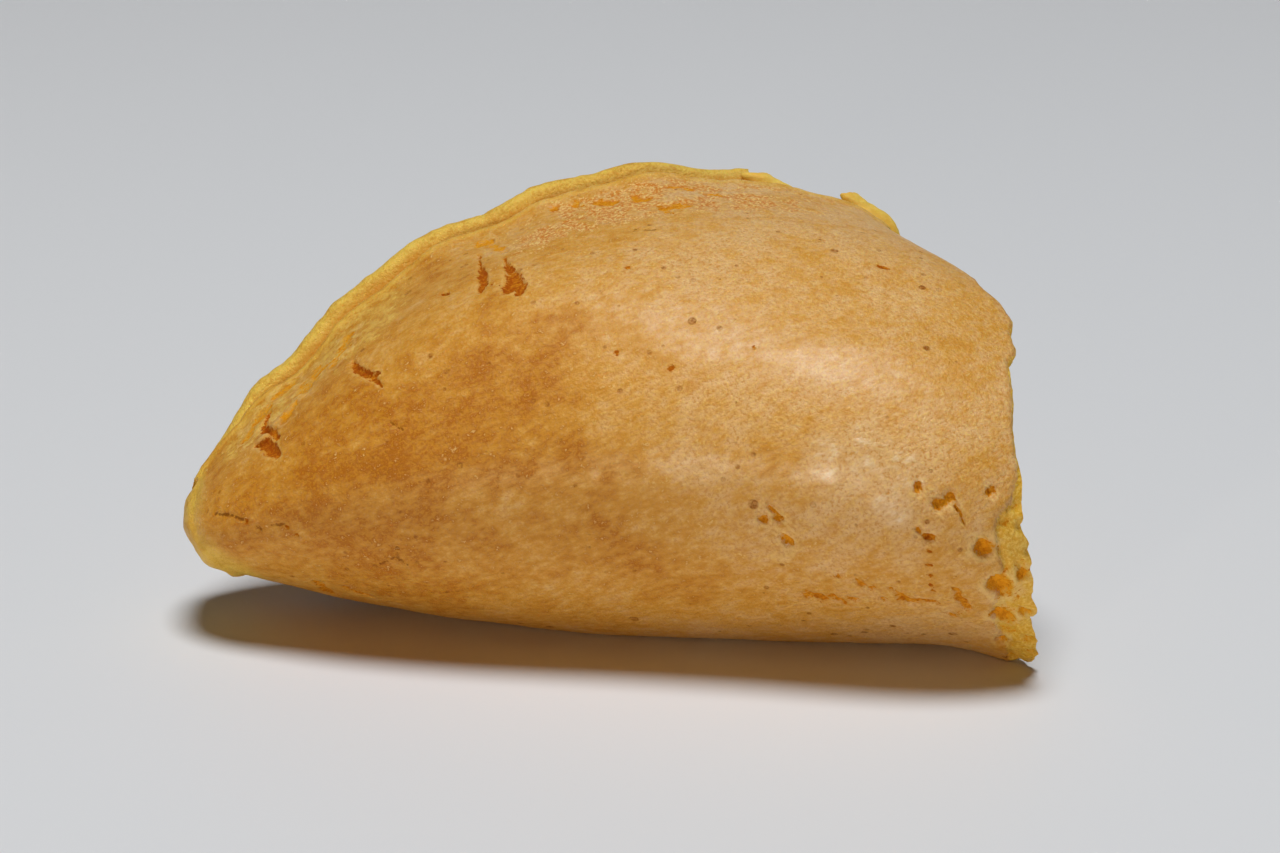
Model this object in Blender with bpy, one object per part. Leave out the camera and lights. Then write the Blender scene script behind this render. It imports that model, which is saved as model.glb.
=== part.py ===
"""Half of a fortune cookie, snapped across its middle.

A thin round wafer, folded in two while hot and then bent over an edge, makes a fortune cookie. Snapped
across the middle, each half is a hollow horn: a rounded fold along the bottom, two walls that belly out
and come together again at the pinched rim, an open mouth where it broke, and a closed blunt tip.
The half is one solid, the folded wafer itself, and the hollow between its walls is open at the mouth.

Frame: +X points out of the broken mouth and -X to the tip. -Y is the front wall. +Z is up.
The half lies on its round back wall, with the rim leaning back and up. The origin is at the middle
of the bottom of the bounding box. Sizes below are in millimetres.

Two shares place a point on the wafer: s runs from 0 at the mouth to 1 at the tip, and q from -1 at the
back rim over 0 at the fold to 1 at the front rim.
"""

import bmesh
import bpy
import numpy as np

MM = 0.001

# The outside of the fold and of the pinched rim: control points of two curves from mouth to tip.
FOLD = ((23.7, 1.0, 0.6), (18.0, -0.2, 6.1), (4.0, 0.8, 1.0), (-11.0, 4.4, 1.8), (-21.5, 8.0, 3.5))
RIM = ((14.3, 19.5, 22.1), (6.0, 23.4, 25.8), (-9.0, 20.6, 26.5), (-20.0, 14.2, 15.8), (-23.6, 9.2, 8.4))

FRONT_BELLY = 12.4  # how far the front wall stands out from the plane of the rim
BACK_BELLY = 12.4
BACK_BELLY_AT_MOUTH = 7.2
BACK_BELLY_FULL_AT = 0.35  # s from which the back wall has its whole belly
TIP_BELLY = 1.6
SLIMMING = 2.2  # the higher, the later the bellies slim down towards the tip
FRONT_BELLY_HEIGHT = 0.40  # share of the way from fold to rim where each wall is widest
BACK_BELLY_HEIGHT = 0.36
BELLY_SHARE = 0.36  # share of a wall's width that wraps round the fold up to there
WAIST = 1.25  # how sharply the walls draw together towards the rim

WALL = 2.3  # thickness of the baked wafer
RIM_WALL = 1.35  # it thins towards its edge
THIN_BEYOND_Q = 0.5
THIN_BEYOND_S = 0.7
RIM_CREST = 0.5  # how far the rounded edge stands beyond the flat of the layer
RIM_WAVE = 0.15  # the baked edge isn't quite round
RIM_WAVE_TURNS = (23, 47)
RIM_WAVE_REACH = 8  # the higher, the closer to the edge the waves stay
RIM_GAP = 0.2  # between the two layers at the rim
RIM_STEP = 1.7  # the back layer's edge stands this far beyond the front one's
RIM_STEP_FADES = 0.25  # share of the length over which that step fades out at the tip
# Where the front wall swells or sinks: s and q of the middle, how far it reaches in s and in q, and its
# height. It is widest low down by the mouth, and high up further back.
SWELLS = ((0.18, 0.12, 0.20, 0.20, 2.6), (0.10, 0.50, 0.22, 0.20, -1.4), (0.55, 0.76, 0.22, 0.22, 2.0))
SWELLING_WAY = (0.0, -0.95, 0.31)
SWELLING_ENDS = (0.82, 1.0)  # the share of a wall's width over which the swelling fades out at the rim
FLATTENED = 0.45  # how much of the back wall's belly is flat where the piece lies
TIP_ROUND = 1.3  # how far the blunt tip bulges past the ends of the fold and of the rim
TIP_BEYOND_S = 0.85

# The front wall's break, as its distance from the mouth in shares of the length, against the share of
# the wall's width counted from the fold to the rim.
BREAK_AT = (0.0, 0.05, 0.09, 0.14, 0.20, 0.26, 0.34, 0.44, 0.54, 0.68, 0.79, 0.90, 1.0)
BREAK_IN = (0.0, 0.036, 0.055, 0.066, 0.069, 0.067, 0.051, 0.027, 0.001, 0.001, -0.007, -0.014, -0.014)
BACK_BREAK_AT_FOLD = 0.02
BACK_BREAK = 0.05  # the back wall broke off further in,
BACK_NOTCH = 0.10  # and most of all beside its rim
RAGGED = ((0.002, 23, 1), (0.002, 41, 0), (0.0015, 67, 2))  # the break's small waves: size, turns, start

ROWS = 38  # from mouth to tip
COLUMNS = 60  # from the back rim round the fold to the front rim
SMALL_STEP = 0.001  # along s, to find a curve's direction
SMALL_Q_STEP = 0.004
SHARP_ANGLE = 50
BAKED = (0.50, 0.25, 0.072, 1)
NODE = "cookie_half"


def bezier(points, s):
    """The point at share s along the curve with these control points."""
    level = [np.asarray(point, float) * np.ones(s.shape + (1,)) for point in points]
    s = s[..., None]
    while len(level) > 1:
        level = [a * (1 - s) + b * s for a, b in zip(level[:-1], level[1:])]
    return level[0]


def ramp(x, low, high):
    """0 up to low, 1 from high on, and a smooth rise between."""
    t = np.clip((x - low) / (high - low), 0, 1)
    return t * t * (3 - 2 * t)


def unit(v):
    return v / np.linalg.norm(v, axis=-1, keepdims=True)


def frame_at(s):
    """The fold's point, the ways along to the tip, up to the rim and out to the front, and the height."""
    fold = bezier(FOLD, s)
    height = np.linalg.norm(bezier(RIM, s) - fold, axis=-1, keepdims=True)
    up = (bezier(RIM, s) - fold) / height
    after, before = s + SMALL_STEP, s - SMALL_STEP
    along = unit(bezier(FOLD, after) - bezier(FOLD, before) + bezier(RIM, after) - bezier(RIM, before))
    return fold, along, up, unit(np.cross(up, along)), height[..., 0]


def section(s, q):
    """The outside of a slice: heights above the fold, widths to the front, and shares of the height."""
    share = np.abs(q)
    front = q > 0
    slim = np.sqrt(1 - np.clip(s, 0, 1) ** SLIMMING)
    back_belly = BACK_BELLY_AT_MOUTH + (BACK_BELLY - BACK_BELLY_AT_MOUTH) * ramp(s, 0, BACK_BELLY_FULL_AT)
    belly = TIP_BELLY + (np.where(front, FRONT_BELLY, back_belly) - TIP_BELLY) * slim
    pinch = RIM_WALL + RIM_GAP / 2
    turn = np.clip(share / BELLY_SHARE, 0, 1) * np.pi / 2
    rise = np.clip((share - BELLY_SHARE) / (1 - BELLY_SHARE), 0, 1)
    widest = np.where(front, FRONT_BELLY_HEIGHT, BACK_BELLY_HEIGHT)
    u = widest * (1 - np.cos(turn)) + (1 - widest) * rise
    wide = pinch + (belly - pinch) * (1 - rise**2) ** WAIST
    n = np.where(share < BELLY_SHARE, belly * np.sin(turn), wide)
    wave = RIM_WAVE * sum(np.sin(turns * s) for turns in RIM_WAVE_TURNS) * ramp(1 - s, 0, 0.1)
    step = np.where(front, RIM_STEP * ramp(1 - s, 0, RIM_STEP_FADES), 0)
    height = frame_at(s)[4] - RIM_CREST - step + wave * u**RIM_WAVE_REACH
    return height * u, np.sign(q) * n, u


def wall(s, q):
    """The wafer's thickness."""
    thin = np.maximum(ramp(np.abs(q), THIN_BEYOND_Q, 1), ramp(s, THIN_BEYOND_S, 1))
    return WALL + (RIM_WALL - WALL) * thin


def swelling(s, q):
    """How far the front wall stands out from its plain form."""
    swells = (
        height * np.exp(-(((s - at_s) / long) ** 2) - ((q - at_q) / tall) ** 2)
        for at_s, at_q, long, tall, height in SWELLS
    )
    return sum(swells) * (1 - ramp(np.abs(q), *SWELLING_ENDS))


def skins(s, q):
    """Points of the outer and of the inner surface."""
    fold, along, up, front, _ = frame_at(s)
    u, n, share_up = section(s, q)
    u_after, n_after, _ = section(s, np.clip(q + SMALL_Q_STEP, -1, 1))
    u_before, n_before, _ = section(s, np.clip(q - SMALL_Q_STEP, -1, 1))
    run = np.hypot(u_after - u_before, n_after - n_before)
    in_u = u + wall(s, q) * (n_after - n_before) / run
    in_n = n - wall(s, q) * (u_after - u_before) / run
    side = np.sign(q)
    in_n = np.where(q == 0, 0, side * np.maximum(side * in_n, RIM_GAP / 2))
    tip = TIP_ROUND * ramp(s, TIP_BEYOND_S, 1) * np.sin(np.pi * share_up)
    swollen = swelling(s, q)[..., None] * SWELLING_WAY

    def place(u, n):
        return fold + up * u[..., None] + front * n[..., None] + along * tip[..., None] + swollen

    return place(u, n), place(in_u, in_n)


def break_line(q):
    """How far from the mouth the wafer broke, in shares of the length: a wandering, ragged line."""
    share = np.abs(q)
    front = np.interp(share, BREAK_AT, BREAK_IN)
    back = BACK_BREAK_AT_FOLD + BACK_BREAK * ramp(share, 0.1, 0.5) + BACK_NOTCH * ramp(share, 0.75, 1)
    ragged = sum(size * np.sin(turns * q + start) for size, turns, start in RAGGED)
    return np.where(q > 0, front, back * ramp(share, 0, 0.2)) + ragged * ramp(1 - share, 0, 0.05)


def surfaces(rows, columns):
    """The grid of both surfaces, from the break to the tip and from the back rim to the front rim."""
    q = np.linspace(-1, 1, columns + 1)[None, :]
    start = break_line(q)
    s = start + (1 - start) * np.linspace(0, 1, rows + 1)[:, None]
    outer, inner = skins(s, q + 0 * s)
    outer[..., 2] = np.maximum(outer[..., 2], FLATTENED)
    return outer, inner


def edge_round(outer, inner):
    """The crest of a rim between its two surfaces."""
    crest = unit(np.cross(inner - outer, np.gradient(outer, axis=0)))
    return (outer + inner) / 2 + crest * RIM_CREST


def folded_wafer(outer, inner):
    """One closed skin: round each slice from the outside over the front rim, the inside and the back rim."""
    rows, columns = outer.shape[0] - 1, outer.shape[1] - 1
    front_crest = edge_round(outer[:, -1], inner[:, -1])[:, None]
    back_crest = edge_round(inner[:, 0], outer[:, 0])[:, None]
    loops = np.concatenate([outer, front_crest, inner[:, ::-1], back_crest], axis=1)
    low, high = loops.reshape(-1, 3).min(axis=0), loops.reshape(-1, 3).max(axis=0)
    middle = (low + high) / 2
    points = (loops - (middle[0], middle[1], low[2])) * MM
    around = loops.shape[1]

    def corner(row, place):
        return row * around + place % around

    faces = []
    for row in range(rows):
        for place in range(around):
            near = (corner(row, place), corner(row, place + 1))
            faces.append((*near, corner(row + 1, place + 1), corner(row + 1, place)))
    for row, order in ((0, -1), (rows, 1)):
        for column in range(columns):
            inside = around - 2 - column
            cap = (corner(row, column), corner(row, column + 1), corner(row, inside - 1), corner(row, inside))
            faces.append(cap[::order])
        for crest in (columns + 1, around - 1):
            cap = (corner(row, crest - 1), corner(row, crest), corner(row, crest + 1))
            faces.append(cap[::order])
    return points.reshape(-1, 3), faces


def crust():
    """Even golden baked wafer."""
    material = bpy.data.materials.new("baked_wafer")
    material.use_nodes = True
    shader = material.node_tree.nodes["Principled BSDF"]
    shader.inputs["Base Color"].default_value = BAKED
    shader.inputs["Roughness"].default_value = 0.5
    material.diffuse_color = BAKED
    return material


for leftover in list(bpy.data.objects):
    bpy.data.objects.remove(leftover)

points, faces = folded_wafer(*surfaces(ROWS, COLUMNS))
mesh = bpy.data.meshes.new(NODE)
mesh.from_pydata(points.tolist(), [], faces)
body = bmesh.new()
body.from_mesh(mesh)
if body.calc_volume(signed=True) < 0:
    bmesh.ops.reverse_faces(body, faces=body.faces)
body.to_mesh(mesh)
body.free()
mesh.materials.append(crust())
mesh.shade_smooth()
mesh.set_sharp_from_angle(angle=np.radians(SHARP_ANGLE))
cookie_half = bpy.data.objects.new(NODE, mesh)
bpy.context.scene.collection.objects.link(cookie_half)
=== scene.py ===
# %% [markdown]
# # Half of a fortune cookie
#
# A fortune cookie is a thin round wafer. It is folded in two while it is hot and soft, and then bent over an
# edge. This half was snapped off, so it is a hollow horn with a crumbly mouth at one end and a blunt tip at
# the other.
#
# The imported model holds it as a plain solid. The lesson makes the same folded wafer from the same sizes, but
# in cells of about a sixth of a millimetre. Then it presses pits, bubbles and cracks into it, tears its
# edges, and gives it a baked finish.

import bpy
import numpy as np
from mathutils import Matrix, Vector


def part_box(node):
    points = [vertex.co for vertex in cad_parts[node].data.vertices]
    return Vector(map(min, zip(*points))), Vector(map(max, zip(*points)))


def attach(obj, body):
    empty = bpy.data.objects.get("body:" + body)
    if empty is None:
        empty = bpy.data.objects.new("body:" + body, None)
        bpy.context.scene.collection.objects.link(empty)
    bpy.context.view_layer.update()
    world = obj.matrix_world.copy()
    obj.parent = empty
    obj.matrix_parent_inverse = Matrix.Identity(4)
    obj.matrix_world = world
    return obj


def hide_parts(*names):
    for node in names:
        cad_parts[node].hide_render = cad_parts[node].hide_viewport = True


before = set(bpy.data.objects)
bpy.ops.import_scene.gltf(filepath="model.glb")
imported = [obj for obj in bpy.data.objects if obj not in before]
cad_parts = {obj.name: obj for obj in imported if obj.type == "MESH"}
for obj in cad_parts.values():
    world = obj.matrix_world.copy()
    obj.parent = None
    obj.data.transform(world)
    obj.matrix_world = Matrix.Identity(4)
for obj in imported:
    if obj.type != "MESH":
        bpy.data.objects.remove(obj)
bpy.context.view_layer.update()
MM = 0.001
NODE = "cookie_half"
low_corner, high_corner = (np.array(corner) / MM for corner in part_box(NODE))
print("the solid is", np.round(high_corner - low_corner, 1), "mm")

# %% [markdown]
# ## The folded wafer
#
# Two curves carry the form: the fold along the bottom and the pinched rim along the top. A slice across
# them is a teardrop: round at the fold, widest a little higher, and drawn together at the rim. One outline
# swept along a curve could make a horn too, but here each slice has its own height and its own two bellies.
# So the wafer is a function of two shares: s runs from the mouth to the tip, and q from the back rim over
# the fold to the front rim. The functions are those of the solid, so the fine skin lies where the solid does.

# %% The sizes of the wafer, in millimetres
FOLD = ((23.7, 1.0, 0.6), (18.0, -0.2, 6.1), (4.0, 0.8, 1.0), (-11.0, 4.4, 1.8), (-21.5, 8.0, 3.5))
RIM = ((14.3, 19.5, 22.1), (6.0, 23.4, 25.8), (-9.0, 20.6, 26.5), (-20.0, 14.2, 15.8), (-23.6, 9.2, 8.4))
FRONT_BELLY = 12.4
BACK_BELLY = 12.4
BACK_BELLY_AT_MOUTH = 7.2
BACK_BELLY_FULL_AT = 0.35
TIP_BELLY = 1.6
SLIMMING = 2.2
FRONT_BELLY_HEIGHT = 0.4
BACK_BELLY_HEIGHT = 0.36
BELLY_SHARE = 0.36
WAIST = 1.25
WALL = 2.3
RIM_WALL = 1.35
THIN_BEYOND_Q = 0.5
THIN_BEYOND_S = 0.7
RIM_CREST = 0.5
RIM_WAVE = 0.15
RIM_WAVE_TURNS = (23, 47)
RIM_WAVE_REACH = 8
RIM_GAP = 0.2
RIM_STEP = 1.7
RIM_STEP_FADES = 0.25
FLATTENED = 0.45
TIP_ROUND = 1.3
TIP_BEYOND_S = 0.85
BREAK_AT = (0.0, 0.05, 0.09, 0.14, 0.2, 0.26, 0.34, 0.44, 0.54, 0.68, 0.79, 0.9, 1.0)
BREAK_IN = (0.0, 0.036, 0.055, 0.066, 0.069, 0.067, 0.051, 0.027, 0.001, 0.001, -0.007, -0.014, -0.014)
BACK_BREAK_AT_FOLD = 0.02
BACK_BREAK = 0.05
BACK_NOTCH = 0.1
RAGGED = ((0.002, 23, 1), (0.002, 41, 0), (0.0015, 67, 2))
SWELLS = ((0.18, 0.12, 0.2, 0.2, 2.6), (0.1, 0.5, 0.22, 0.2, -1.4), (0.55, 0.76, 0.22, 0.22, 2.0))
SWELLING_WAY = (0.0, -0.95, 0.31)
SWELLING_ENDS = (0.82, 1.0)
SMALL_STEP = 0.001
SMALL_Q_STEP = 0.004
SEAM_OVERLAP = 0.03  # the two layers really touch, so here their inner faces meet


# %% The functions of the wafer
def bezier(points, s):
    """The point at share s along the curve with these control points."""
    level = [np.asarray(point, float) * np.ones(s.shape + (1,)) for point in points]
    s = s[..., None]
    while len(level) > 1:
        level = [a * (1 - s) + b * s for a, b in zip(level[:-1], level[1:])]
    return level[0]


def ramp(x, low, high):
    """0 up to low, 1 from high on, and a smooth rise between."""
    t = np.clip((x - low) / (high - low), 0, 1)
    return t * t * (3 - 2 * t)


def unit(v):
    return v / np.maximum(np.linalg.norm(v, axis=-1, keepdims=True), 1e-12)


def dot(a, b):
    return np.sum(a * b, axis=-1)


def frame_at(s):
    """The fold's point, the ways along to the tip, up to the rim and out to the front, and the height."""
    fold = bezier(FOLD, s)
    height = np.linalg.norm(bezier(RIM, s) - fold, axis=-1, keepdims=True)
    up = (bezier(RIM, s) - fold) / height
    after, before = s + SMALL_STEP, s - SMALL_STEP
    along = unit(bezier(FOLD, after) - bezier(FOLD, before) + bezier(RIM, after) - bezier(RIM, before))
    return fold, along, up, unit(np.cross(up, along)), height[..., 0]


def section(s, q):
    """The outside of a slice: heights above the fold, widths to the front, and shares of the height."""
    share = np.abs(q)
    front = q > 0
    slim = np.sqrt(1 - np.clip(s, 0, 1) ** SLIMMING)
    back_belly = BACK_BELLY_AT_MOUTH + (BACK_BELLY - BACK_BELLY_AT_MOUTH) * ramp(s, 0, BACK_BELLY_FULL_AT)
    belly = TIP_BELLY + (np.where(front, FRONT_BELLY, back_belly) - TIP_BELLY) * slim
    pinch = RIM_WALL + RIM_GAP / 2
    turn = np.clip(share / BELLY_SHARE, 0, 1) * np.pi / 2
    rise = np.clip((share - BELLY_SHARE) / (1 - BELLY_SHARE), 0, 1)
    widest = np.where(front, FRONT_BELLY_HEIGHT, BACK_BELLY_HEIGHT)
    u = widest * (1 - np.cos(turn)) + (1 - widest) * rise
    wide = pinch + (belly - pinch) * (1 - rise**2) ** WAIST
    n = np.where(share < BELLY_SHARE, belly * np.sin(turn), wide)
    wave = RIM_WAVE * sum(np.sin(turns * s) for turns in RIM_WAVE_TURNS) * ramp(1 - s, 0, 0.1)
    step = np.where(front, RIM_STEP * ramp(1 - s, 0, RIM_STEP_FADES), 0)
    height = frame_at(s)[4] - RIM_CREST - step + wave * u**RIM_WAVE_REACH
    return height * u, np.sign(q) * n, u


def wall(s, q):
    """The wafer's thickness."""
    thin = np.maximum(ramp(np.abs(q), THIN_BEYOND_Q, 1), ramp(s, THIN_BEYOND_S, 1))
    return WALL + (RIM_WALL - WALL) * thin


def swelling(s, q):
    """How far the front wall stands out from its plain form."""
    swells = (
        height * np.exp(-(((s - at_s) / long) ** 2) - ((q - at_q) / tall) ** 2)
        for at_s, at_q, long, tall, height in SWELLS
    )
    return sum(swells) * (1 - ramp(np.abs(q), *SWELLING_ENDS))


def skins(s, q):
    """Points of the outer and of the inner surface."""
    fold, along, up, front, _ = frame_at(s)
    u, n, share_up = section(s, q)
    u_after, n_after, _ = section(s, np.clip(q + SMALL_Q_STEP, -1, 1))
    u_before, n_before, _ = section(s, np.clip(q - SMALL_Q_STEP, -1, 1))
    run = np.hypot(u_after - u_before, n_after - n_before)
    in_u = u + wall(s, q) * (n_after - n_before) / run
    in_n = n - wall(s, q) * (u_after - u_before) / run
    side = np.sign(q)
    in_n = np.where(q == 0, 0, side * np.maximum(side * in_n, -SEAM_OVERLAP))
    tip = TIP_ROUND * ramp(s, TIP_BEYOND_S, 1) * np.sin(np.pi * share_up)
    swollen = swelling(s, q)[..., None] * SWELLING_WAY

    def place(u, n):
        return fold + up * u[..., None] + front * n[..., None] + along * tip[..., None] + swollen

    outer = place(u, n)
    outer[..., 2] = np.maximum(outer[..., 2], FLATTENED)
    return outer, place(in_u, in_n)


def break_line(q):
    """How far from the mouth the wafer broke, in shares of the length."""
    share = np.abs(q)
    front = np.interp(share, BREAK_AT, BREAK_IN)
    back = BACK_BREAK_AT_FOLD + BACK_BREAK * ramp(share, 0.1, 0.5) + BACK_NOTCH * ramp(share, 0.75, 1)
    ragged = sum(size * np.sin(turns * q + start) for size, turns, start in RAGGED)
    return np.where(q > 0, front, back * ramp(share, 0, 0.2)) + ragged * ramp(1 - share, 0, 0.05)


print("the middle slice is", np.round(frame_at(np.array(0.5))[4], 1), "mm high")

# %% [markdown]
# ## Uneven, but always the same
#
# A baked surface is uneven at every size: slow dents from the folding, a wrinkled skin, and a fine grain.
# Blender's Displace modifier can lift a surface by a noise texture. Here the noise is worked out in numpy,
# because the same functions also make bubbles, ragged outlines and patches of browning, and because a number
# hashed from a place gives the same cookie on every run.


# %% Noise from hashed places
def scattered(x, y, z, seed):
    """A number from 0 to 1 for each whole-numbered place."""
    mixed = (x * 374761393 + y * 668265263 + z * 1442695041 + seed * 1274126177) & 0xFFFFFFFF
    mixed = ((mixed ^ (mixed >> 13)) * 1274126177) & 0xFFFFFFFF
    return ((mixed ^ (mixed >> 16)) & 0xFFFFFF) / 0xFFFFFF


def lumps(points, size, seed):
    """Smooth noise from -1 to 1, with lumps of this size."""
    places = points / size
    cell = np.floor(places).astype(np.int64)
    part = places - cell
    part = part * part * (3 - 2 * part)
    total = np.zeros(points.shape[:-1])
    for corner in np.ndindex(2, 2, 2):
        weight = np.prod(np.where(corner, part, 1 - part), axis=-1)
        total += weight * scattered(*np.moveaxis(cell + corner, -1, 0), seed)
    return 2 * total - 1


def uneven(points, *waves):
    """Noise of several sizes together, each given as how much, how large and its seed."""
    return sum(amount * lumps(points, size, seed) for amount, size, seed in waves)


def bubbles(points, spacing, radius, seed):
    """How deep a point lies in a round bubble, of those strewn one to a cell, and that bubble's number."""
    places = points / spacing
    cell = np.floor(places).astype(np.int64)
    nearest = np.full(points.shape[:-1], 9.0)
    number = np.zeros(points.shape[:-1])
    for step in np.ndindex(3, 3, 3):
        around = np.moveaxis(cell + step - 1, -1, 0)
        centre = np.stack([around[k] + scattered(*around, seed + k) for k in range(3)], axis=-1)
        away = np.linalg.norm(places - centre, axis=-1)
        closer = away < nearest
        nearest = np.where(closer, away, nearest)
        number = np.where(closer, scattered(*around, seed + 3), number)
    return np.sqrt(np.clip(radius**2 - (nearest * spacing) ** 2, 0, None)), number


print("the noise at one place is", np.round(lumps(np.ones(3), 1.5, 1), 2))

# %% [markdown]
# ## The fine grid
#
# The grid's rows follow each other from the mouth to the tip, and its columns run round a slice. The front
# wall, with the most marks, gets the narrowest columns. The rims are half rounds from the outer to the inner
# surface. The crust is one sheet: over the back rim, round the fold, and over the front rim.
#
# The solid keeps a thin gap between its two layers at the rim. On the real wafer they are pressed together,
# so here the back layer thickens near its rim until it meets the front one.

# %% Rows and columns
ROW_COUNT = 270
FRONT_COLUMNS = 216
BACK_COLUMNS = 84
EDGE_LAYERS = 10  # points round each rim, and across the broken edge
LAST_S = 0.978  # where the rows that close the tip begin
LINING_STRIDE = 2
FRONT_PINCHED_FROM = 0.92  # the share of the wall from which the layers touch
BACK_THICKENS = (0.78, 0.9)  # the shares between which the back layer does
PINCH_OVERLAP = 0.12

q_line = np.concatenate([np.linspace(-1, 0, BACK_COLUMNS + 1)[:-1], np.linspace(0, 1, FRONT_COLUMNS + 1)])
fold_column = BACK_COLUMNS
start = break_line(q_line)[None, :]
s_grid = start + (LAST_S - start) * np.linspace(0, 1, ROW_COUNT + 1)[:, None]
q_grid = q_line + 0 * s_grid
outside, inside = skins(s_grid, q_grid)
fold_grid, along_grid, up_grid, front_grid, _ = frame_at(s_grid)
to_front = PINCH_OVERLAP - dot(inside - fold_grid, front_grid)
inside = inside + front_grid * (to_front * ramp(-q_grid, *BACK_THICKENS))[..., None]
cell_sizes = np.linalg.norm(np.diff(outside[:, fold_column:], axis=1), axis=-1)
print("columns are", round(cell_sizes.mean(), 3), "mm apart")


# %% The half round of a rim
FRONT_RIM_FILL = 1.15  # how full its round is towards the back layer


def rim_round(first, last, filled=0.0):
    """Rows of points from the first surface over the crest of the rim to the last, without those two."""
    turn = np.pi * np.arange(1, EDGE_LAYERS)[None, :, None] / EDGE_LAYERS
    crest = unit(np.cross(last - first, np.gradient(first, axis=0)))
    middle, half = (first + last) / 2, (first - last) / 2
    rise = np.maximum(np.sin(turn), np.where(turn > np.pi / 2, filled, 0))
    return middle[:, None] + half[:, None] * np.cos(turn) + crest[:, None] * RIM_CREST * rise


front_round = rim_round(outside[:, -1], inside[:, -1], FRONT_RIM_FILL)
back_round = rim_round(inside[:, 0], outside[:, 0])
print("each rim has", front_round.shape[1], "more columns over its crest")

# %% Where the frame's origin lies, at the middle and the bottom of the solid's box
SOLID_COLUMNS, SOLID_ROWS = 61, 39
solid_q = np.linspace(-1, 1, SOLID_COLUMNS)[None, :]
solid_s = break_line(solid_q) + (1 - break_line(solid_q)) * np.linspace(0, 1, SOLID_ROWS)[:, None]
outer, inner = skins(solid_s, solid_q + 0 * solid_s)
crest = unit(np.cross(outer[:, 0] - inner[:, 0], np.gradient(inner[:, 0], axis=0)))
over_back = (outer[:, 0] + inner[:, 0]) / 2 + crest * RIM_CREST
points = np.concatenate([outer.reshape(-1, 3), over_back])
shift = (points.max(axis=0) + points.min(axis=0)) / 2 - (low_corner + high_corner) / 2
shift[2] = FLATTENED - low_corner[2]
print("the frame's origin is at", np.round(shift, 2), "on the wafer's own axes")

# %% [markdown]
# Beside its points, a sheet carries what later steps need to know of each: its share q, and the ways up,
# along and to the front.

# %% The sheets of the crust and of the lining
band = (q_line >= FRONT_PINCHED_FROM) | (q_line <= -BACK_THICKENS[0])
back_band = np.where(band & (q_line < 0))[0][::-1]
front_band = np.where(band & (q_line > 0))[0][::-1]
more = EDGE_LAYERS - 1


def round_the_slice(values, values_inside, over_front, over_back):
    """The crust's columns in order: inner back band, back rim, outside, front rim, inner front band."""
    parts = [values_inside[:, back_band], over_back, values, over_front, values_inside[:, front_band]]
    return np.concatenate(parts, axis=1)


def same_round(grid):
    """What is known at the rims, carried over their crests."""
    return round_the_slice(grid, grid, *(np.repeat(grid[:, [rim]], more, axis=1) for rim in (-1, 0)))


crust_points = round_the_slice(outside, inside, front_round, back_round)
crust_q, crust_up, crust_along, crust_front = map(same_round, (q_grid, up_grid, along_grid, front_grid))
lining_columns = np.where(~band)[0][::LINING_STRIDE]
lining_columns = np.unique(np.concatenate([[back_band[-1]], lining_columns, [fold_column, front_band[-1]]]))
lining_points = inside[:, lining_columns]
print("the crust's sheet has", crust_points.shape[:2], "rows and columns")

# %% [markdown]
# ## Dents, wrinkles and the tearing of the edges
#
# The wafer was soft when it was folded, so the walls keep shallow dents, a few millimetres wide and a tenth
# of a millimetre deep. Its skin is wrinkled like dried milk. The baked rim rises and falls, and the break is
# torn: deep and crumbly by the fold, and nearly straight higher up the front wall.


# %% Directions and distances on a sheet
def facing(points):
    """The way out of the wafer at each point of a sheet."""
    return unit(np.cross(np.gradient(points, axis=1), np.gradient(points, axis=0)))


def walked(points):
    """The distance of each point from the first row, along its column."""
    steps = np.linalg.norm(np.diff(points, axis=0), axis=-1)
    return np.concatenate([np.zeros((1, points.shape[1])), np.cumsum(steps, axis=0)])


crust_out = facing(crust_points)
lining_out = -facing(lining_points)  # the lining faces into the hollow
outer_columns = slice(len(back_band) + more, len(back_band) + more + len(q_line))
back_crest, front_crest = len(back_band) + more // 2, outer_columns.stop + more // 2
is_outside = np.zeros(crust_q.shape, bool)
is_outside[:, outer_columns] = True
wall_length = np.linalg.norm(np.diff(outside[:, fold_column:], axis=1), axis=-1).sum(axis=1)[:, None]
from_rim = np.where(is_outside, (1 - np.abs(crust_q)) * wall_length, 0)
from_break = walked(crust_points)
print("the front wall is", round(wall_length.max(), 1), "mm from fold to rim")


# %% The skin's unevenness
INSIDE_SMOOTHNESS = 0.6
TEAR_REACH = 0.7  # how far from the break a tear still moves the skin, in mm
TORN_FURTHER = 0.28  # in mm, where the break steps back below the corner


def baked_skin(points):
    """How far the skin stands out, in mm: dents, ripples, wrinkles and grain."""
    dents_and_ripples = uneven(points, (0.1, 8.0, 1), (0.045, 3.1, 2))
    wrinkles = 0.012 * lumps(points * (1.0, 1.0, 1.6), 0.55, 4)
    return dents_and_ripples + wrinkles + uneven(points, (0.016, 1.1, 3), (0.006, 0.32, 5))


def torn_by(q):
    """How ragged the break is, in mm."""
    crumbly = 1 - ramp(np.abs(q), 0.14, 0.22)
    return np.where(q > 0, 0.1 + 0.34 * crumbly, 0.28)


def torn_out(first_row, q):
    """How far each column reaches past its plain end at the break."""
    ragged = uneven(first_row, (1, 1.5, 11), (0.5, 0.6, 12), (0.25, 0.3, 13))
    return torn_by(q) * ragged + TORN_FURTHER * np.exp(-(((q - 0.345) / 0.045) ** 2))


def worn_rim(q):
    """How far the baked rim rises above its plain line: slowly on both layers alike, finely on each."""
    beside = np.where(q[..., None] > 0, outside[:, [-1]], outside[:, [0]])
    return uneven(outside[:, [-1]], (0.12, 2.6, 21)) + uneven(beside, (0.07, 0.9, 22), (0.05, 0.4, 23))


print("the break wanders by", np.round(torn_by(0.01), 2), "mm by the fold")

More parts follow.
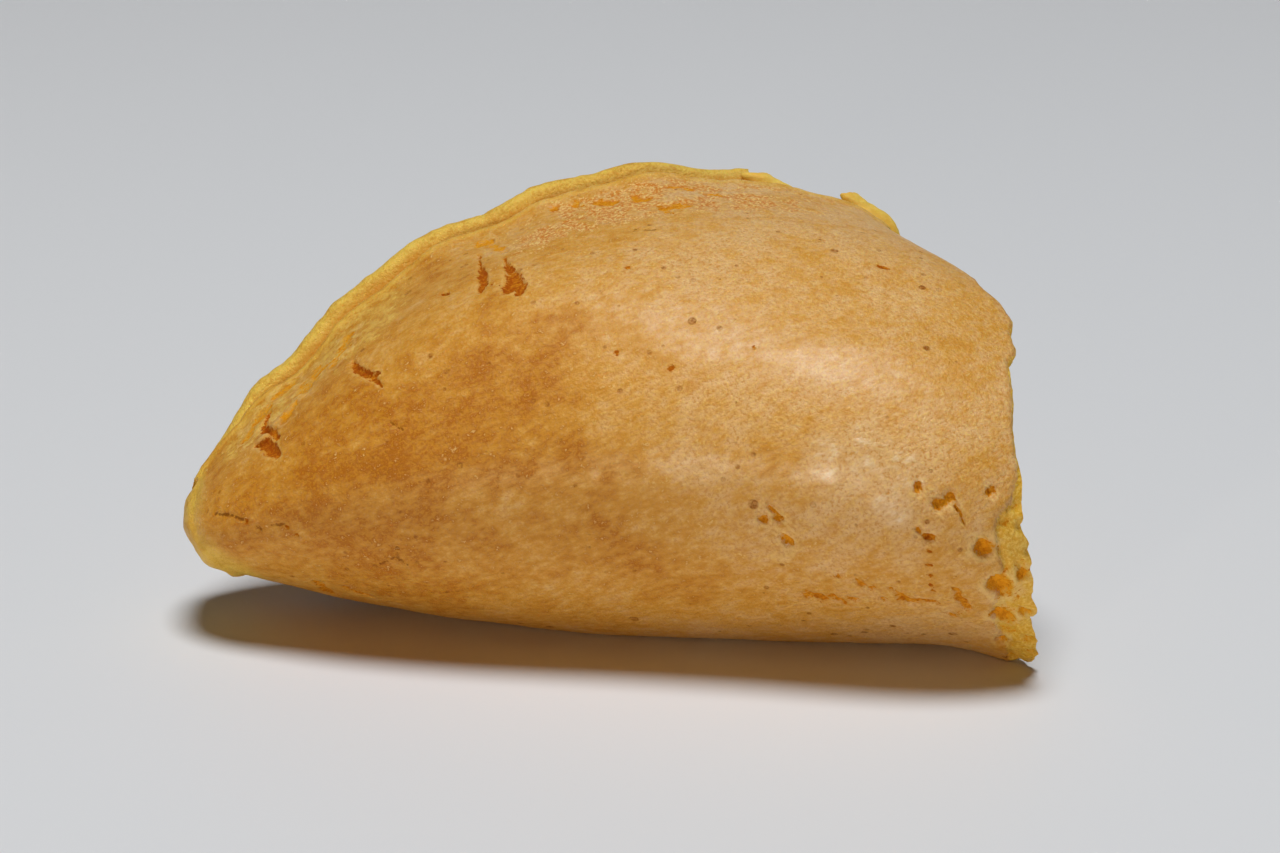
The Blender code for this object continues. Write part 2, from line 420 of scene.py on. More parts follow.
# %% Roughen both sheets
rim_rise = worn_rim(crust_q) * ramp(np.abs(crust_q), 0.86, 0.99)
mouthward = -crust_along
near_break = np.exp(-from_break / TEAR_REACH)
tear = torn_out(crust_points[[0]], crust_q[[0]]) * near_break
smoothness = np.ones(crust_q.shape)
smoothness[:, : len(back_band)] = smoothness[:, -len(front_band) :] = INSIDE_SMOOTHNESS
crust = crust_points + crust_out * (smoothness * baked_skin(crust_points))[..., None]
crust = crust + crust_up * rim_rise[..., None] + mouthward * tear[..., None]
lining_q = q_grid[:, lining_columns]
lining_tear = torn_out(lining_points[[0]], lining_q[[0]]) * np.exp(-walked(lining_points) / TEAR_REACH)
lining = lining_points + lining_out * (INSIDE_SMOOTHNESS * baked_skin(lining_points))[..., None]
lining = lining - along_grid[:, lining_columns] * lining_tear[..., None]
print("the break reaches", round(tear.max(), 2), "mm past its plain line")

# %% [markdown]
# ## The marks
#
# Bubbles in the batter left pits where they burst. Bending tore the skin beside the rim and near the tip, and
# cracked it along the fold. Boolean cuts would make such holes too, but with hard edges. Here each mark is a
# short path with a radius, and the points within it are pressed in, so it keeps a torn, soft lip.
#
# A place on a mark is x, in mm from the middle of the piece, and a share of the front wall's width from the
# fold to the rim. The third number is the radius there, in mm.

# %% Where the marks are
TORN_PITS = (
    ((-7.2, 0.91, 0.1), (-7.2, 0.86, 0.12), (-6.95, 0.81, 0.3), (-7, 0.78, 0.25), (-7.1, 0.76, 0.15)),
    ((-5.75, 0.85, 0.1), (-5.5, 0.81, 0.18), (-5.3, 0.77, 0.4), (-5.2, 0.735, 0.6), (-5.4, 0.72, 0.4)),
    ((-5.1, 0.75, 0.28), (-4.75, 0.72, 0.28), (-4.9, 0.7, 0.28)),
    ((-6.6, 0.78, 0.1), (-6.3, 0.765, 0.08), (-5.95, 0.755, 0.1)),
    ((-14.2, 0.785, 0.18), (-13.75, 0.74, 0.28), (-13.3, 0.695, 0.25), (-12.75, 0.67, 0.22)),
    ((-13, 0.675, 0.22), (-12.55, 0.64, 0.18), (-12.4, 0.615, 0.1)),
    ((-19.7, 0.765, 0.18), (-19.2, 0.74, 0.4), (-18.75, 0.685, 0.4), (-18.25, 0.62, 0.22)),
    ((-19.3, 0.84, 0.22), (-19.1, 0.865, 0.22), (-19, 0.89, 0.1)),
    ((-19.2, 0.815, 0.25), (-18.7, 0.765, 0.28), (-18.3, 0.71, 0.18)),
    ((-8.85, 0.815, 0.18), (-9.3, 0.83, 0.1)),
)
STAINS = (
    ((-7.3, 0.945, 0.29), (-7.15, 0.96, 0.38), (-6.65, 0.94, 0.43), (-6.2, 0.91, 0.38), (-5.9, 0.88, 0.29)),
    ((-18.1, 0.795, 0.58), (-17.7, 0.8, 0.51), (-17.4, 0.82, 0.29)),
    ((-17.1, 0.89, 0.52), (-16.8, 0.86, 0.65), (-16.4, 0.88, 0.58), (-16.3, 0.92, 0.46)),
    ((-15.85, 0.89, 0.46), (-15.2, 0.86, 0.65), (-14.8, 0.88, 0.58), (-14.7, 0.92, 0.52)),
    ((-20.2, 0.86, 0.51), (-19.8, 0.9, 0.58), (-19.1, 0.93, 0.43)),
    ((-18.6, 0.95, 0.43), (-17.9, 0.96, 0.51)),
)
HOLLOWS = (
    (16.9, 0.198, 0.32),
    ((17.9, 0.18, 0.42), (18.6, 0.188, 0.36)),
    ((18.9, 0.178, 0.16), (19.3, 0.164, 0.12)),
    (20.9, 0.204, 0.26),
    ((17, 0.15, 0.24), (17.5, 0.14, 0.26)),
    (8.9, 0.187, 0.3), (8.4, 0.171, 0.24), (9.35, 0.172, 0.3), (9.8, 0.144, 0.46),
)
SPLITS = (
    ((10.9, 0.056, 0.34), (11.4, 0.06, 0.28), (12, 0.052, 0.39), (12.6, 0.056, 0.31), (12.9, 0.045, 0.17)),
    (12.6, 0.089, 0.21),
    ((13.6, 0.083, 0.17), (14, 0.075, 0.24), (14.6, 0.069, 0.34)),
    (13.6, 0.049, 0.34), (15.2, 0.049, 0.21),
    ((15.6, 0.071, 0.17), (16.1, 0.055, 0.24), (16.7, 0.047, 0.31), (17.3, 0.05, 0.28), (17.9, 0.053, 0.31)),
    ((19, 0.074, 0.17), (19.4, 0.06, 0.22), (19.8, 0.047, 0.21)),
    (18.9, 0.033, 0.34),
    ((-16.2, 0.08, 0.28), (-15.9, 0.04, 0.36), (-15.5, 0, 0.31)),
    ((-14.6, 0.069, 0.22), (-14, 0.05, 0.31), (-13.2, 0.03, 0.22)),
)
CRACKS = (
    ((-11.9, 0.475, 0.06), (-11.15, 0.435, 0.1)),
    ((-21.8, 0.52, 0.06), (-20.95, 0.445, 0.07), (-20.25, 0.375, 0.08)),
    ((-19.5, 0.33, 0.12), (-19.25, 0.315, 0.06)),
    ((-18.65, 0.315, 0.08), (-17.9, 0.305, 0.08)),
    ((-12.5, 0.16, 0.06), (-11.6, 0.178, 0.1), (-11, 0.16, 0.08)),
    ((-11.6, 0.2, 0.06), (-11.5, 0.17, 0.1)),
    ((1.4, 0.79, 0.12), (1.8, 0.8, 0.1)),
    ((2, 0.785, 0.12), (2.7, 0.78, 0.12)),
)
DOTS = (
    (17.4, 0.138, 0.17), (17.45, 0.122, 0.15), (17.5, 0.106, 0.18), (17.6, 0.094, 0.16), (17.7, 0.08, 0.15),
    (17.8, 0.067, 0.17), (-20.05, 0.355, 0.17), (-17.7, 0.29, 0.17), (-17.2, 0.265, 0.15),
    ((1.1, 0.664, 0.18), (1.35, 0.66, 0.14)),
    (0.5, 0.429, 0.17), (3.6, 0.362, 0.21), (8.1, 0.373, 0.17),
    ((15.1, 0.609, 0.15), (15.6, 0.605, 0.15)),
)
BUBBLES = (
    (20.5, 0.136, 0.58),
    ((21.3, 0.094, 0.56), (21.7, 0.084, 0.6)),
    ((21.4, 0.047, 0.42), (22.1, 0.042, 0.44)),
    (21.7, 0.004, 0.38), (22.7, 0.11, 0.4), (22.9, 0.062, 0.34),
)
TORN_BAND = (
    (-3.2, 0.97, 0.38),
    ((-1.9, 0.958, 0.41), (-1.4, 0.95, 0.32)),
    ((-0.6, 0.945, 0.46), (0.2, 0.935, 0.57)),
    ((1.4, 0.93, 0.34), (2, 0.915, 0.41)),
    ((2.9, 0.868, 0.47), (3.5, 0.862, 0.65), (4.2, 0.866, 0.49)),
    ((3.6, 0.952, 0.3), (4.4, 0.948, 0.38)),
    ((5.6, 0.925, 0.3), (6.4, 0.915, 0.34)),
    ((8, 0.9, 0.3), (8.5, 0.905, 0.27)),
)
RIDGES = (
    ((-19.3, 0.77, 0.45), (-18.3, 0.79, 0.4), (-17.2, 0.835, 0.4)),
    ((-15.6, 0.86, 0.4), (-14.5, 0.85, 0.36)),
    ((9.2, 0.128, 0.4), (9.8, 0.118, 0.4), (10.3, 0.135, 0.35)),
)
print(len(TORN_PITS), "torn pits,", len(SPLITS), "splits and", len(DOTS), "dots, among others")


# %% How near a point is to a mark
SHARE_WEIGHT = 25  # the mm that a whole share counts for when a place is looked up
FAR = 9.0  # a distance that counts as outside every mark
x_from_middle = crust_points[..., 0] - shift[0]
front_part = is_outside & (crust_q >= -0.02)


def spot(x, share):
    """The point of the plain front wall at this x and share of its width."""
    off = (x_from_middle - x) ** 2 + ((crust_q - share) * SHARE_WEIGHT) ** 2
    off = np.where(front_part, off, np.inf)
    return crust_points[np.unravel_index(np.argmin(off), off.shape)]


def nearness(path, ragged, seed, across=None):
    """Distance from a mark's path at every point, in shares of its radius or of a width across it."""
    path = np.reshape(path, (-1, 3))  # a mark may also be a single spot
    places = np.array([spot(x, share) for x, share, _ in path])
    radii = np.array([across or radius for _, _, radius in path])
    if len(path) == 1:
        places, radii = places.repeat(2, axis=0), radii.repeat(2)
    near = np.full(crust_q.shape, FAR)
    reach = radii.max() * 3 + 0.4
    low, high = places.min(axis=0) - reach, places.max(axis=0) + reach
    box = front_part & np.all((crust_points > low) & (crust_points < high), axis=-1)
    points = crust_points[box]
    found = np.full(len(points), FAR)
    for a, b, ra, rb in zip(places[:-1], places[1:], radii[:-1], radii[1:]):
        share = np.clip(dot(points - a, b - a) / max(dot(b - a, b - a), 1e-9), 0, 1)
        away = np.linalg.norm(points - a - share[:, None] * (b - a), axis=-1)
        found = np.minimum(found, away / (ra + (rb - ra) * share))
    outline = 1 + ragged * uneven(points, (1, 0.45, seed), (0.5, 0.22, seed + 1))
    near[box] = found / np.maximum(outline, 0.3)
    return near


print("the front wall has", np.sum(front_part), "points to mark")

# %% Press the marks in
CRACK_FIELD = 0.35  # how far a crack is felt on each side, in mm
pressed, hollow, deep, pale, crack, ridge = (np.zeros(crust_q.shape) for _ in range(6))


def press(paths, depth, ragged, seed, tone, lip, bare=1.0):
    """Presses marks in, and keeps how bare each point is, how deep its colour and how pale its lip."""
    for number, path in enumerate(paths):
        near = nearness(path, ragged, seed + 10 * number)
        np.maximum(pressed, depth * np.clip(1.1 - near * near, 0, 1), out=pressed)
        np.maximum(hollow, bare * np.clip(1.55 - near, 0, 1), out=hollow)
        np.maximum(deep, tone * (1 - ramp(near, 1.0, 2.2)), out=deep)
        np.maximum(pale, lip * np.exp(-(((near - 1.4) / 0.4) ** 2)), out=pale)


press(TORN_PITS, depth=0.24, ragged=0.35, seed=100, tone=0.7, lip=0.45)
press(STAINS, depth=0.06, ragged=0.6, seed=250, tone=0.1, lip=0.5, bare=0.7)
press(HOLLOWS, depth=0.32, ragged=0.9, seed=300, tone=0.25, lip=0.6)
press(SPLITS, depth=0.16, ragged=1.2, seed=400, tone=0.35, lip=0.3, bare=0.85)
press(DOTS, depth=0.06, ragged=0.4, seed=600, tone=0.6, lip=0.1)
press(BUBBLES, depth=0.6, ragged=0.25, seed=700, tone=0.1, lip=0.8)
press(TORN_BAND, depth=0.14, ragged=1.1, seed=800, tone=0.2, lip=0.4, bare=0.8)
for number, path in enumerate(CRACKS):
    beside = nearness(path, 0.0, 500 + 10 * number, across=CRACK_FIELD)
    np.maximum(crack, np.clip(1 - beside, 0, 1), out=crack)
pressed = np.maximum(pressed, 0.07 * ramp(crack, 0.5, 0.9))
for number, path in enumerate(RIDGES):
    np.maximum(ridge, 1 - ramp(nearness(path, 0.45, 900 + 10 * number), 0.1, 1.5), out=ridge)
print(np.sum(hollow > 0.6), "points lie in hollows")

# %% [markdown]
# ## Where the crust is gone
#
# By the fold the break took the crust with it, and the yellow crumb under it shows, full of bubbles like a
# honeycomb. It reaches some two millimetres from the break and lies lower than the crust. A band under the
# front rim, where the layers pulled at each other, is torn too, but only skin deep.

# %% The crumb zone
CRUMB_AT = (-0.06, -0.02, 0.0, 0.04, 0.09, 0.14, 0.17, 0.2, 0.24)
CRUMB_WIDE = (0.4, 1.8, 2.4, 2.6, 2.2, 2.1, 1.9, 0.6, 0.15)
bubble_depth, bubble_number = bubbles(crust_points, spacing=0.8, radius=0.42, seed=31)
bubble_hollow = bubble_depth * (0.4 + 0.6 * bubble_number)
crumb_width = np.interp(crust_q, CRUMB_AT, CRUMB_WIDE, left=0.15, right=0.12)
uneven_line = uneven(crust_points, (0.35, 0.9, 41), (0.15, 0.35, 42))
past_line = from_break - crumb_width - uneven_line * np.minimum(crumb_width, 1)
crumb = np.where(is_outside, 1 - ramp(past_line, -0.12, 0.12), 0)
print("the crumb shows on", np.sum(crumb > 0.5), "points")


# %% The torn band, and the thin skin by the tip
def between(rise, fall):
    """1 between two ranges of x, rising over the first and falling over the second."""
    return ramp(x_from_middle, *rise) * (1 - ramp(x_from_middle, *fall))


torn_noise = uneven(crust_points, (1, 1.3, 51), (1, 0.5, 52))
band_place = between((-7.0, -3.5), (9.0, 15.0)) * ramp(crust_q, 0.8, 0.87)
band_place = band_place * (1 - 0.6 * ramp(crust_q, 0.96, 0.99))
band_tear = np.where(is_outside, band_place, 0) * ramp(torn_noise, -0.6, 0.3)
by_tip = between((-23.0, -20.0), (-14.0, -9.5))
thin_skin = np.where(front_part, by_tip * ramp(crust_q + 0.03 * torn_noise, 0.76, 0.9), 0)
print("the band is torn on", np.sum(band_tear > 0.5), "points")

# %% Lower what is torn, and raise the ridges
crumb_lowered = crumb * (0.16 + 0.45 * bubble_hollow + 0.05 * lumps(crust_points, 0.4, 43))
inward = np.maximum(pressed, crumb_lowered) + 0.06 * band_tear
crust = crust - crust_out * inward[..., None] + crust_out * (0.12 * ridge)[..., None]
# painted shade: bubbles in the crumb take the orange of a hollow, more the deeper they are, and more or less
# from bubble to bubble
hollow = np.maximum(hollow, crumb * np.clip(2.4 * bubble_hollow, 0, 0.56))
print("the deepest mark is", round(inward.max(), 2), "mm deep")

# %% [markdown]
# ## Close the tip, and fill the broken edge
#
# The last rows draw both layers in to the middle, so the tip is blunt and uneven. The broken edge is a strip
# from the crust's first row to the lining's. It shares their points, so no slit opens between the pieces. In
# between it is rough crumb, hollowed by bubbles.

# %% The rows that close the tip
CLOSING_ROWS = 7
CLOSING_LENGTH = 1.0
last_row = crust[-1]
end_fold, end_along, end_up, end_front, _ = (part[0] for part in frame_at(np.array([LAST_S])))
out_of_middle = dot(last_row - end_fold, end_front)
height_here = dot(last_row - end_fold, end_up)
middle_line = last_row - end_front * out_of_middle[:, None]
share_up = height_here / height_here.max()
scallop = uneven(middle_line, (0.55, 1.6, 71), (0.25, 0.7, 72)) * (1 - 0.75 * ramp(share_up, 0.3, 0.8))
under_rim = 1 - 0.75 * ramp(share_up, 0.86, 1.0)
closing = []
for row in range(1, CLOSING_ROWS + 1):
    turn = np.pi / 2 * row / CLOSING_ROWS
    drawn_in = 1 - np.cos(turn)
    shorter = 0.12 * drawn_in * (height_here - height_here.mean())
    reach = (CLOSING_LENGTH * under_rim + scallop) * np.sin(turn)
    moved = last_row - end_front * (out_of_middle * drawn_in)[:, None] - end_up * shorter[:, None]
    closing.append(moved + end_along * reach[:, None])
crust = np.concatenate([crust, closing])
crust[..., 2] = np.maximum(crust[..., 2], FLATTENED)
print("the tip is closed by", CLOSING_ROWS, "rows")

# %% The strip across the broken edge
inner_edge = np.stack([np.interp(q_line, q_line[lining_columns], lining[0, :, k]) for k in range(3)], axis=-1)
inner_edge[back_band] = crust[0, : len(back_band)]
inner_edge[front_band] = crust[0, -len(front_band) :]
outer_edge = crust[0, outer_columns]
layer = np.linspace(0, 1, EDGE_LAYERS + 1)[:, None, None]
plain_strip = outer_edge * (1 - layer) + inner_edge * layer
back_arc = crust[0, len(back_band) - 1 : outer_columns.start + 1][::-1, None]
front_arc = crust[0, outer_columns.stop - 1 : len(crust[0]) - len(front_band) + 1][:, None]
strip = np.concatenate([back_arc, plain_strip, front_arc], axis=1)
strip_q = np.concatenate([[-1], q_line, [1]])
strip_mouthward = np.concatenate([mouthward[0, [0]], mouthward[0, outer_columns], mouthward[0, [-1]]])
depth_in_wall = np.minimum(layer, 1 - layer)[..., 0] + 0 * strip_q
within = ramp(depth_in_wall, 0, 0.2) * ((strip_q > -1) & (strip_q < 1))
strip_depth, strip_number = bubbles(strip, spacing=0.75, radius=0.4, seed=33)
strip_hollow = strip_depth * strip_number
crumbs = uneven(strip, (0.16, 0.8, 81), (0.1, 0.35, 82)) - 0.9 * strip_hollow
strip = strip + strip_mouthward * (crumbs * within)[..., None]
print("the broken edge is", strip.shape[1], "columns long")

# %% [markdown]
# ## Browning
#
# A wafer browns unevenly. Here the tip and the lower left are deep gold and the upper right is pale. Painting
# it would take an image texture, so it is a number at each point: a slow change over the piece, a few
# patches, and noise of three sizes. The finish reads it through an Attribute node.

# %% How brown each point is
TOASTED = (  # x, share of the wall, radius in mm, and how much browner
    (-3, 0.42, 5, 0.22), (-9, 0.3, 5, 0.2), (-21, 0.6, 4, 0.15), (-13.5, 0.45, 4.5, 0.15),
    (17.5, 0.6, 3.5, 0.2), (19, 0.35, 3, 0.22), (8.8, 0.23, 1.8, 0.3), (13, 0.08, 3, 0.25),
    (19, 0.12, 3.5, 0.2), (2.5, 0.14, 6, 0.4), (-6.3, 0.74, 1.8, 0.18),
)


def away_from(x, share):
    """The distance of every point from a place on the front wall, in mm."""
    return np.linalg.norm(crust_points - spot(x, share), axis=-1)


toast = 0.62 - 0.42 * ramp(x_from_middle, -14.0, 9.0)
toast = toast + uneven(crust_points, (0.2, 5.5, 91), (0.1, 2.0, 92), (0.07, 0.8, 93))
for x, share, radius, amount in TOASTED:
    toast += amount * np.exp(-((away_from(x, share) / radius) ** 2)) * front_part
toast = np.clip(toast, 0, 1)
print("browning is", round(toast.mean(), 2), "on average")

# %% The golden rim and tip, and the painted shade between the layers
is_rim = np.where(is_outside, 1 - ramp(from_rim, 0.1, 0.5 + 0.25 * lumps(crust_points, 0.8, 96)), 1)
lip_side = np.where(crust_q > 0, 0.45, 1.0)
to_tip = 0.8 * ramp(s_grid[:, -1:] + 0.02 * lumps(crust_points, 1.8, 97), 0.945, 0.98)
golden = np.clip(np.maximum(is_rim * lip_side, to_tip), 0, 1)
below_crest = dot(crust_points[:, [back_crest]] - crust_points, crust_up)
# painted shade: deeper below the back crest, and on the inner side of the front rim, the rim turns a darker
# orange
groove_shade = np.where(is_outside | (crust_q > 0), 0, ramp(below_crest, 0.5, 1.2))
groove_shade[:, front_crest:] = 0.9
print("the rims and the tip are golden on", np.sum(golden > 0.5), "points")

# %% The glossy film of dried egg and sugar
FILM_PATCHES = ((12.2, 0.235, 1.6), (14.0, 0.235, 1.8), (15.8, 0.215, 1.6), (15.4, 0.175, 1.3))
film = np.zeros(crust_q.shape)
for x, share, radius in FILM_PATCHES:
    away = away_from(x, share) / radius + 0.3 * lumps(crust_points, 0.8, 95)
    film = np.maximum(film, front_part * (1 - ramp(away, 0.5, 1.1)))
print("the film covers", np.sum(film > 0.5), "points")


# %% [markdown]
# ## Make the meshes
#
# Each sheet becomes a mesh. What was worked out for each point goes along as a named attribute, and the
# points are moved from the wafer's own axes to the frame's.

# %% Sheets to meshes
def placed(name, data):
    """An object in the scene with this data."""
    made = bpy.data.objects.new(name, data)
    bpy.context.scene.collection.objects.link(made)
    return made


def shaped(name, points, faces, finish):
    """A smooth mesh in the scene with this finish."""
    mesh = bpy.data.meshes.new(name)
    mesh.from_pydata(points, [], faces)
    mesh.shade_smooth()
    mesh.materials.append(finish.material)
    return placed(name, mesh)


def sheet_piece(name, points, finish, turned=False, **known):
    """A mesh piece from a sheet of points, with what is known of each as an attribute."""
    rows, columns = points.shape[:2]
    corner = np.arange(rows * columns).reshape(rows, columns)
    corners = (corner[:-1, :-1], corner[:-1, 1:], corner[1:, 1:], corner[1:, :-1])
    faces = np.stack(corners, axis=-1).reshape(-1, 4)
    if turned:
        faces = faces[:, ::-1]
    made = shaped(name, ((points - shift) * MM).reshape(-1, 3).tolist(), faces.tolist(), finish)
    for label, values in known.items():
        data = made.data.attributes.new(label, "FLOAT", "POINT").data
        data.foreach_set("value", np.float32(values + np.zeros((rows, columns))).ravel())
    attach(made, "root")
    print(name, "has", 2 * len(faces), "triangles")
    return made


# %% [markdown]
# ## Writing a finish as sums
#
# A shader is a web of nodes, and most of them do sums. The class below wraps an output socket, so that a
# Python expression such as (1 - hollow) * grain adds the Math nodes itself. Colours are mixed with Mix nodes,
# because a Math node would turn them grey. Every other node comes from the one method, node.


# %% A material with its nodes
SKIN_DEPTH = {
    "Subsurface Weight": 0.18,
    "Subsurface Radius": (1.0, 0.42, 0.14),
    "Subsurface Scale": 0.8 * MM,
    "Specular IOR Level": 0.22,
    "Coat Roughness": 0.3,
}


class Finish:
    """A material and its nodes."""

    def __init__(self, name):
        self.material = bpy.data.materials.new(name)
        self.material.use_nodes = True
        self.tree = self.material.node_tree
        self.shader = self.tree.nodes["Principled BSDF"]

    def node(self, kind, settings=None, values=None, output=0):
        """A node with these settings and socket values, as the signal that it puts out."""
        made = self.tree.nodes.new(kind)
        for setting, value in (settings or {}).items():
            setattr(made, setting, value)
        for socket, value in (values or {}).items():
            self.feed(made.inputs[socket], value)
        return Signal(self, made.outputs[output])

    def feed(self, socket, value):
        if isinstance(value, Signal):
            self.tree.links.new(value.socket, socket)
        else:
            socket.default_value = value

    def ends(self, values):
        """Feeds the shader's own sockets."""
        for name, value in values.items():
            self.feed(self.shader.inputs[name], value)

    def known(self, label):
        """A value kept at each point of the mesh."""
        return self.node("ShaderNodeAttribute", {"attribute_name": label}, output="Fac")

    def mix(self, share, first, second):
        """The second colour over the first by this share."""
        return self.node("ShaderNodeMix", {"data_type": "RGBA"}, {0: share, 6: first, 7: second}, output=2)

    def surface(self, skin, rough, height, strength, distance):
        """Feeds the shader its colour, its roughness, its bumps and the depth of baked skin."""
        relief = {"Height": height, "Strength": strength, "Distance": distance}
        bumps = self.node("ShaderNodeBump", {}, relief, output="Normal")
        self.ends({"Base Color": skin, "Roughness": rough, "Normal": bumps, **SKIN_DEPTH})


print("every baked finish sets", ", ".join(SKIN_DEPTH))


# %% Sockets that can be added and multiplied
class Signal:
    """A node's output that expressions work on."""

    def __init__(self, finish, socket):
        self.finish = finish
        self.socket = socket

    def worked(self, operation, first, second, clamp=False):
        """A Math node on two values."""
        settings = {"operation": operation, "use_clamp": clamp}
        return self.finish.node("ShaderNodeMath", settings, {0: first, 1: second})

    def __add__(self, other):
        return self.worked("ADD", self, other)

    def __radd__(self, other):
        return self.worked("ADD", other, self)

    def __sub__(self, other):
        return self.worked("SUBTRACT", self, other)

    def __rsub__(self, other):
        return self.worked("SUBTRACT", other, self)

    def __mul__(self, other):
        return self.worked("MULTIPLY", self, other)

    def __rmul__(self, other):
        return self.worked("MULTIPLY", other, self)

    def clamped(self):
        """Kept between 0 and 1."""
        return self.worked("ADD", self, 0.0, clamp=True)

    def past(self, start, steep):
        """0 up to a start, and from there a rise to 1, this steep."""
        return ((self - start) * steep).clamped()


def colour(red, green, blue):
    """A shader colour from a screen colour's red, green and blue, each from 0 to 255."""
    share = np.array([red, green, blue]) / 255
    linear = np.where(share <= 0.04045, share / 12.92, ((share + 0.055) / 1.055) ** 2.4)
    return (*(float(part) for part in linear), 1.0)


print("a screen grey of 128 is", round(colour(128, 128, 128)[0], 3), "to a shader")

# %% [markdown]
# ## The baked finish
#
# Baked wafer is a thin tan skin over yellow crumb. Light goes in a little and comes out warmer, so the shader
# has some subsurface scattering. The skin shows a fine wrinkled grain, lighter and darker, with pinholes, and
# it is satin: a broad soft shine, glossier where a film of egg and sugar dried. Where a mark tore the skin,
# the floor is a deep orange brown, and its lip and the crumb are pale yellow.

# %% Colours
PALE_SKIN = colour(224, 178, 118)
GOLDEN_SKIN = colour(214, 153, 56)
BROWN_SKIN = colour(180, 106, 14)
STAIN = colour(200, 132, 24)
TORN_SKIN = colour(208, 122, 16)
PALE_FILM = colour(236, 194, 92)
# painted highlight: a near white for glints on the film
PAINTED_GLINT = colour(250, 226, 186)
PINHOLE = colour(150, 84, 4)
DEEP_HOLLOW = colour(176, 86, 0)
ORANGE_HOLLOW = colour(234, 160, 22)
# painted shade for the recess between the two layers at the rim
GROOVE_SHADE = colour(206, 142, 36)
CRACK = colour(136, 76, 4)
LIP = colour(238, 198, 122)
CRUMB = colour(252, 216, 112)
CRUMB_SHADE = colour(224, 166, 40)
RIM_GOLD = colour(230, 190, 80)
RIM_BROWN = colour(198, 144, 40)
print("gold in shader numbers:", np.round(GOLDEN_SKIN, 3))

# %% Noise and pinholes
HOLE_EDGE = 0.07  # the soft edge of a hole, in mm
SKIN_LIE = np.radians(-25)  # the skin's fine wrinkles rise towards the mouth


def noise_signal(finish, size, detail=2.0, stretch=(1, 1, 1), seed=0.0):
    """Noise with lumps of this size in mm, stretched along the lie of the skin."""
    place = finish.node("ShaderNodeTexCoord", output="Object")
    turned = {"Vector": place, "Rotation": (0, SKIN_LIE, 0), "Scale": stretch}
    scaled = finish.node("ShaderNodeMapping", {"vector_type": "TEXTURE"}, turned)
    values = {"Vector": scaled, "Scale": 1 / MM / size, "Detail": detail, "Roughness": 0.6, "W": seed}
    return finish.node("ShaderNodeTexNoise", {"noise_dimensions": "4D"}, values)


def pinholes(finish, spacing, radius, share):
    """1 in small round holes, which this share of the places has, and 0 between them."""
    place = finish.node("ShaderNodeTexCoord", output="Object")
    values = {"Vector": place, "Scale": 1 / MM / spacing}
    away = finish.node("ShaderNodeTexVoronoi", {}, values, output="Distance")
    kind = finish.node("ShaderNodeTexVoronoi", {}, values, output="Color")
    number = finish.node("ShaderNodeSeparateColor", {}, {"Color": kind}, output="Red")
    reach = (number - (1 - share)) * (radius / spacing / share)
    return (reach - away).past(0, steep=spacing / HOLE_EDGE)


print("a grain of 0.18 mm is a texture scale of", round(1 / MM / 0.18))

# %% [markdown]
# The crust reads what its mesh knows of each point, and four noises. The finest two together make a fifth
# signal, ragged. It is added to a mark before the mark's edge is found, so that no edge runs smooth.

# %% What the crust's finish reads
known = dict(toast=toast, hollow=hollow, deep=deep, crack=crack, pale=np.maximum(pale, 0.6 * ridge))
known |= dict(crumb=crumb, golden=golden, groove_shade=groove_shade, thin=thin_skin, film=film, torn=band_tear)
baked = Finish("baked_crust")
here = {label: baked.known(label) for label in known}
grain = noise_signal(baked, 0.18)
wrinkle = noise_signal(baked, 0.5, detail=3.0, stretch=(1.6, 1, 0.8), seed=3.0)
patch = noise_signal(baked, 1.7, detail=4.0, stretch=(1.3, 1, 0.9), seed=5.0)
stain = noise_signal(baked, 0.9, detail=3.0, seed=8.0)
ragged = 0.9 * (grain - 0.5) + 0.9 * (wrinkle - 0.5)
print("the signals take", len(baked.tree.nodes), "nodes")

# %% Browned skin, with its grain, stains and pinholes
big_holes = pinholes(baked, spacing=1.6, radius=0.34, share=0.35)
small_holes = pinholes(baked, spacing=0.8, radius=0.22, share=0.35)
holes = (big_holes + 0.8 * small_holes).clamped()
# painted highlight: a few tiny pale dots stand in for sparkles of light on the skin
painted_sparkles = pinholes(baked, spacing=1.1, radius=0.2, share=0.03)
brown = (here["toast"] + 1.0 * (patch - 0.5) + 1.4 * (wrinkle - 0.5) + 1.2 * (grain - 0.5)).clamped()
skin = baked.mix(brown.past(0, steep=2), PALE_SKIN, GOLDEN_SKIN)
skin = baked.mix(brown.past(0.5, steep=2), skin, BROWN_SKIN)
skin = baked.mix(grain.past(0.525, steep=8) * (0.85 - 0.75 * brown), skin, LIP)
skin = baked.mix(0.65 * (1 - grain).past(0.52, steep=10), skin, STAIN)
skin = baked.mix(0.6 * stain.past(0.53, steep=4), skin, STAIN)
skin = baked.mix((holes * (0.6 + 3.0 * ragged)).clamped() * (1 - here["golden"]), skin, PINHOLE)
# painted highlight: the sparkle dots are mixed into the colour
skin = baked.mix(0.5 * painted_sparkles, skin, LIP)
print("with the browned skin,", len(baked.tree.nodes), "nodes")

# %% The glossy film with painted glints, the thin skin and the torn skin
# painted highlight: where the film ripples, near white glints are painted into the colour
painted_glints = (here["film"] * (5.0 * (wrinkle - 0.5) + 0.2)).clamped()
skin = baked.mix(0.7 * painted_glints, skin, PAINTED_GLINT)
spotted = (3.0 * (stain - 0.5) + 2.0 * ragged + 0.5).clamped()
see_through = baked.mix(spotted, STAIN, PALE_FILM)
skin = baked.mix(0.75 * (here["thin"] + ragged).past(0.3, steep=3), skin, see_through)
crumbly = baked.mix((7.0 * (grain - 0.5) + 0.3).clamped(), TORN_SKIN, LIP)
skin = baked.mix(0.9 * (here["torn"] + 2.0 * ragged).past(0.35, steep=3), skin, crumbly)
print("with the film and the tears,", len(baked.tree.nodes), "nodes")

